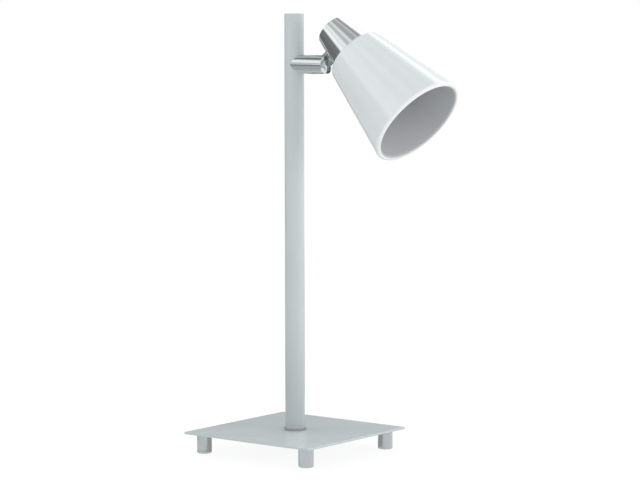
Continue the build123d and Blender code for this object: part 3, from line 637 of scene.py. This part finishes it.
# Plain finishes: noise patches mix two tones, and noise wear varies the roughness.
# A noise is its scale, and where they differ its detail and its stretch. A grain is its scale,
# depth and strength. Chrome has wipe marks that only its roughness shows.
CHROME = {
    "metallic": 1.0,
    "patches": (25.0,),
    "tones": ((0.756, 0.794, 0.802), (0.790, 0.827, 0.834)),
    "wear": (120.0, 4.0, (1.0, 1.0, 8.0)),
}
NYLON = {
    "patches": (200.0,),
    "wear": (700.0,),
    "roughness": (0.42, 0.55),
    "grain": (3000.0, 0.00004, 0.5),
}
FINISHES = {
    "polished_chrome": {**CHROME, "roughness": (0.05, 0.09)},
    "worn_chrome": {**CHROME, "roughness": (0.11, 0.17)},
    # Chrome darkened for the tab that sits in the arm's slot: painted shade.
    "slot_shaded_chrome": {
        "metallic": 1.0,
        "patches": (90.0,),
        "tones": ((0.42, 0.44, 0.45), (0.50, 0.52, 0.53)),
        "wear": (400.0,),
        "roughness": (0.16, 0.26),
    },
    "zinc": {
        "metallic": 1.0,
        "patches": (300.0,),
        "tones": ((0.50, 0.50, 0.47), (0.62, 0.62, 0.60)),
        "wear": (900.0,),
        "roughness": (0.28, 0.45),
        "grain": (2500.0, 0.00003, 0.4),
    },
    "brass": {
        "metallic": 1.0,
        "patches": (250.0,),
        "tones": ((0.62, 0.46, 0.20), (0.78, 0.62, 0.31)),
        "wear": (600.0,),
        "roughness": (0.2, 0.38),
    },
    "dark_nylon": {**NYLON, "tones": ((0.085, 0.095, 0.095), (0.12, 0.13, 0.13))},
    "grey_nylon": {**NYLON, "tones": ((0.290, 0.312, 0.312), (0.340, 0.360, 0.360))},
    "soft_pad": {
        "patches": (400.0,),
        "tones": ((0.50, 0.52, 0.52), (0.58, 0.60, 0.60)),
        "roughness": 0.6,
        "grain": (2500.0, 0.00005, 0.4),
    },
    "moulded_white": {
        "patches": (150.0,),
        "tones": ((0.70, 0.70, 0.66), (0.77, 0.77, 0.73)),
        "wear": (500.0,),
        "roughness": (0.35, 0.5),
    },
    "speckled_glaze": {
        "patches": (1400.0, 2.0),
        "patch_span": (0.68, 0.74),
        "tones": ((0.80, 0.78, 0.71), (0.55, 0.50, 0.42)),
        "wear": (260.0,),
        "roughness": (0.10, 0.22),
    },
}

# What wears each plain finish
WEARERS = {
    "polished_chrome": ("lamp_cap", "pivot_screw"),
    "worn_chrome": ("arm",),
    "slot_shaded_chrome": ("head_tab",),
    "zinc": (
        "foot_studs",
        "stop_pin",
        "stop_washer",
        "spring_washer",
        "post_nut",
        "post_nipple",
        "arm_anchor",
        "arm_nipple",
        "arm_set_screw",
        "holder_bracket",
        "tab_nut",
        "holder_nipple",
        "holder_nut",
        "terminal_screws",
    ),
    "brass": ("socket_shell_thread", "centre_contact", "terminals"),
    "dark_nylon": ("slide_washer", "lead_bush", "friction_washers", "wire_grommet"),
    "grey_nylon": ("swivel_washer",),
    "soft_pad": (
        "soft_pad_front_left",
        "soft_pad_front_right",
        "soft_pad_back_left",
        "soft_pad_back_right",
    ),
    "moulded_white": ("lamp_holder", "lamp_holder_thread", "shade_ring"),
    "speckled_glaze": ("socket_insulator",),
}


def material_on(*names):
    """A new node material, named after the first node or piece, put on each of them."""
    material = bpy.data.materials.new(names[0] + "_finish")
    material.use_nodes = True
    for name in names:
        mesh = bpy.data.objects[name].data if name in PIECES else nodes_by_name[name].data
        mesh.materials.clear()
        mesh.materials.append(material)
    tree = material.node_tree
    return tree, tree.nodes["Principled BSDF"]


def coordinates(tree):
    return tree.nodes.new("ShaderNodeTexCoord").outputs["Object"]


def noise(tree, scale, detail=NOISE_DETAIL, stretch=None):
    """Noise with so many cycles per metre, with its scale changed along each axis if asked."""
    source = coordinates(tree)
    if stretch:
        mapping = linked(tree, "ShaderNodeMapping", Vector=source, Scale=stretch)
        source = mapping.outputs["Vector"]
    node = linked(tree, "ShaderNodeTexNoise", Vector=source, Scale=scale, Detail=detail)
    return node.outputs["Fac"]


def between(tree, factor, low, high, span=NOISE_SPAN):
    """A number that goes from low to high as a noise goes through its span."""
    return ramp(tree, factor, *span, low, high)


def bump(tree, shader, height, distance, strength):
    node = linked(tree, "ShaderNodeBump", Strength=strength, Distance=distance, Height=height)
    tree.links.new(node.outputs["Normal"], shader.inputs["Normal"])


def toned(colour, tone):
    """A colour made paler or darker."""
    return tuple(tone * part for part in colour)


def silver_coat(*names, pale=1.0, shaded_foot=False, painted_rim_light=False):
    """Satin silver lacquer with fine flake, a faint cloudiness and a clear top coat."""
    tree, shader = material_on(*names)
    shader.inputs["Metallic"].default_value = SILVER_METALLIC
    shader.inputs["Specular IOR Level"].default_value = SILVER_SPECULAR
    shader.inputs["Coat Weight"].default_value = SILVER_COAT
    shader.inputs["Coat Roughness"].default_value = SILVER_COAT_ROUGHNESS
    cloud = between(tree, noise(tree, SILVER_CLOUD_SCALE), 0.0, 1.0)
    # A pale above 1 makes a paler copy of the lacquer: painted light, used on the plate.
    colour = blend(tree, cloud, toned(SILVER_DARK, pale), toned(SILVER_LIGHT, pale))
    if shaded_foot:
        # Painted shade: the colour darkens towards the post's foot.
        height = dot(tree, coordinates(tree), UP)
        low_down = ramp(tree, height, *SHADED_HEIGHTS, 1.0, 0.0, smooth=True)
        colour = blend(tree, low_down, colour, toned(SILVER_DARK, SHADED_TONE))
    if painted_rim_light:
        # Painted light: upright faces, picked by the way they face, take a tone of their own.
        normal = tree.nodes.new("ShaderNodeNewGeometry").outputs["True Normal"]
        facing = dot(tree, normal, UP)
        rim = ramp(tree, maths(tree, "ABSOLUTE", facing), *RIM_FACING, 1.0, 0.0)
        colour = blend(tree, rim, colour, PAINTED_RIM_COLOUR)
    tree.links.new(colour, shader.inputs["Base Color"])
    roughness = between(tree, noise(tree, SILVER_WEAR_SCALE), *SILVER_ROUGHNESS)
    tree.links.new(roughness, shader.inputs["Roughness"])
    bump(tree, shader, noise(tree, FLAKE_SCALE, FLAKE_DETAIL), FLAKE_DEPTH, FLAKE_STRENGTH)


def turned_metal(*names):
    """Turned and satin-lacquered metal, with fine rings round its axis."""
    tree, shader = material_on(*names)
    shader.inputs["Metallic"].default_value = TURNED_METALLIC
    rings = noise(tree, *TURNED_RINGS)
    colour = blend(tree, between(tree, rings, 0.0, 1.0), TURNED_DARK, TURNED_LIGHT)
    tree.links.new(colour, shader.inputs["Base Color"])
    roughness = between(tree, noise(tree, TURNED_WEAR_SCALE), *TURNED_ROUGHNESS)
    tree.links.new(roughness, shader.inputs["Roughness"])
    bump(tree, shader, rings, TURNED_DEPTH, TURNED_STRENGTH)


def shade_place(tree):
    """A point's station on the shade's axis, and its depth under the outer cone."""
    place = vector_maths(tree, "SUBTRACT", coordinates(tree), MOUTH_CENTRE).outputs["Vector"]
    station = dot(tree, place, AIM)
    across = vector_maths(tree, "CROSS_PRODUCT", place, AIM).outputs["Vector"]
    radius = vector_maths(tree, "LENGTH", across).outputs["Value"]
    cone = maths(tree, "MULTIPLY_ADD", station, SHADE_TAPER, SHADE_MOUTH_RADIUS)
    return station, maths(tree, "SUBTRACT", cone, radius)


def opal_glass(name):
    """Thick pale glass, glossy and faintly blue outside, satin inside, greyed there by painted
    shade, its lip paler by painted light.
    """
    tree, shader = material_on(name)
    station, depth = shade_place(tree)
    inside = ramp(tree, depth, *SKIN_DEPTH, smooth=True)
    lip = ramp(tree, station, *LIP_STATIONS, smooth=True)
    cloud = between(tree, noise(tree, SHADE_CLOUD_SCALE), 0.0, 1.0)
    # Painted light: the outside is paler on the lip.
    outside = blend(tree, lip, blend(tree, cloud, *SHADE_OUTSIDE), SHADE_LIP_PAINTED_LIGHT)
    # Painted shade: the inside, under the skin depth, takes the darker grey.
    colour = blend(tree, inside, outside, blend(tree, cloud, *SHADE_INSIDE_PAINTED_SHADE))
    tree.links.new(colour, shader.inputs["Base Color"])
    tree.links.new(ramp(tree, inside, 0.0, 1.0, *SHADE_ROUGHNESS), shader.inputs["Roughness"])
    shader.inputs["IOR"].default_value = SHADE_IOR


def plain_finish(
    names, tones, patches, roughness, patch_span=NOISE_SPAN, metallic=0.0, wear=None, grain=None
):
    """A finish on these nodes and pieces. Without wear, its roughness is one number."""
    tree, shader = material_on(*names)
    shader.inputs["Metallic"].default_value = metallic
    mottling = between(tree, noise(tree, *patches), 0.0, 1.0, patch_span)
    tree.links.new(blend(tree, mottling, *tones), shader.inputs["Base Color"])
    if wear:
        tree.links.new(between(tree, noise(tree, *wear), *roughness), shader.inputs["Roughness"])
    else:
        shader.inputs["Roughness"].default_value = roughness
    if grain:
        scale, depth, strength = grain
        bump(tree, shader, noise(tree, scale), depth, strength)


def dress_nodes():
    silver_coat("base_plate", pale=PLATE_PAINTED_LIGHT, painted_rim_light=True)
    silver_coat("post_tube", "post_cap", "post_ferrule", shaded_foot=True)
    turned_metal("foot_front_left", "foot_front_right", "foot_back_left", "foot_back_right")
    opal_glass("shade")
    for finish, names in WEARERS.items():
        plain_finish(names, **FINISHES[finish])


make_camera()
make_world()
make_floor()
make_floor_mats()
make_plate_shadow()
make_flag()
make_lights()
make_socket_shell()
make_barrel_thread()
make_pads()
dress_nodes()

bpy.context.scene.view_settings.view_transform = "Standard"
